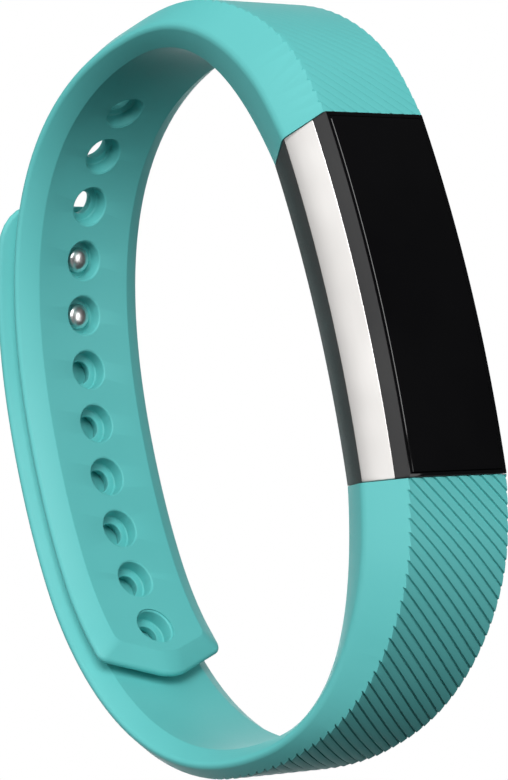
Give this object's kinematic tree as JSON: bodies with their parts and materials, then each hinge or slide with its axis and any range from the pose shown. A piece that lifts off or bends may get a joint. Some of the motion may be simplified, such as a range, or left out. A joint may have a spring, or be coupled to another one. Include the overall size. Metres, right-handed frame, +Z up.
{
  "type": "fitness tracker band",
  "caption": "Slim fitness tracker on a two-piece elastomer wrist band, closed by two pegs in stepped holes, with a curved glossy display in a steel case.",
  "frame": {"origin": "centre of the wrist opening", "axes": "+X out of the display, +Y along the wrist, +Z up the tracker towards the holed strap"},
  "size_m": [0.059, 0.0156, 0.0756],
  "materials": {
    "teal_elastomer": "soft matte moulded elastomer, light teal",
    "satin_steel": "fine satin",
    "dark_housing": "fine matte",
    "dark_frame": "satin",
    "black_lens": "polished black",
    "gasket": "black adhesive foam",
    "panel": "dark display panel",
    "flex_film": "amber film",
    "circuit_board": "green solder mask",
    "chip_epoxy": "black epoxy",
    "battery_pouch": "foil pouch",
    "foam_pad": "pale foam",
    "antenna_metal": "stamped",
    "motor_steel": "plain",
    "tungsten": "sintered heavy metal",
    "gold_pin": "gold plated",
    "adapter_plastic": "moulded",
    "button_steel": "satin",
    "spring_steel": "plain wire",
    "peg_steel": "polished"
  },
  "bodies": {
    "tracker": {"back_housing": "dark_housing", "case_shell": "satin_steel", "display_frame": "dark_frame", "display_lens": "black_lens", "lens_gasket": "gasket", "display_panel": "panel", "display_flex": "flex_film", "main_board": "circuit_board", "board_chips": "chip_epoxy", "battery": "battery_pouch", "battery_pad": "foam_pad", "antenna": "antenna_metal", "motor_can": "motor_steel", "charging_pins": "gold_pin"},
    "rotor": {"motor_shaft": "motor_steel", "eccentric_weight": "tungsten"},
    "upper_strap": {"holed_strap": "teal_elastomer", "upper_adapter": "adapter_plastic", "upper_button_spring": "spring_steel"},
    "upper_button": {"upper_release_button": "button_steel"},
    "lower_strap": {"peg_strap_root": "teal_elastomer", "lower_adapter": "adapter_plastic", "lower_button_spring": "spring_steel"},
    "lower_button": {"lower_release_button": "button_steel"},
    "clasp_end": {"peg_strap_tail": "teal_elastomer", "clasp_plate": "button_steel", "clasp_pegs": "peg_steel"}
  },
  "joints": [
    {"name": "upper_strap_release", "type": "slide", "parent": "tracker", "child": "upper_strap", "axis": [-1, 0, 0], "range_m": [0, 0.01]},
    {"name": "lower_strap_release", "type": "slide", "parent": "tracker", "child": "lower_strap", "axis": [-1, 0, 0], "range_m": [0, 0.01]},
    {"name": "upper_button_press", "type": "slide", "parent": "upper_strap", "child": "upper_button", "axis": [0.9767, 0, 0.2147], "range_m": [0, 0.0008], "stiffness_N_per_m": 800, "springref_m": -0.0008, "deforming": ["upper_button_spring"]},
    {"name": "lower_button_press", "type": "slide", "parent": "lower_strap", "child": "lower_button", "axis": [0.9767, 0, -0.2147], "range_m": [0, 0.0008], "stiffness_N_per_m": 800, "springref_m": -0.0008, "deforming": ["lower_button_spring"]},
    {"name": "clasp_open", "type": "hinge", "parent": "lower_strap", "child": "clasp_end", "pos_m": [-0.02771, 0, -0.0049], "axis": [0, -1, 0], "range_deg": [0, 80], "stiffness_Nm_per_rad": 0.01},
    {"name": "rotor_spin", "type": "hinge", "parent": "tracker", "child": "rotor", "pos_m": [0.0247, 0, 0.00955], "axis": [0, 1, 0], "continuous": true}
  ],
  "couplings": [
    {"joint": "lower_strap_release", "follows": "upper_strap_release", "ratio": 1}
  ]
}
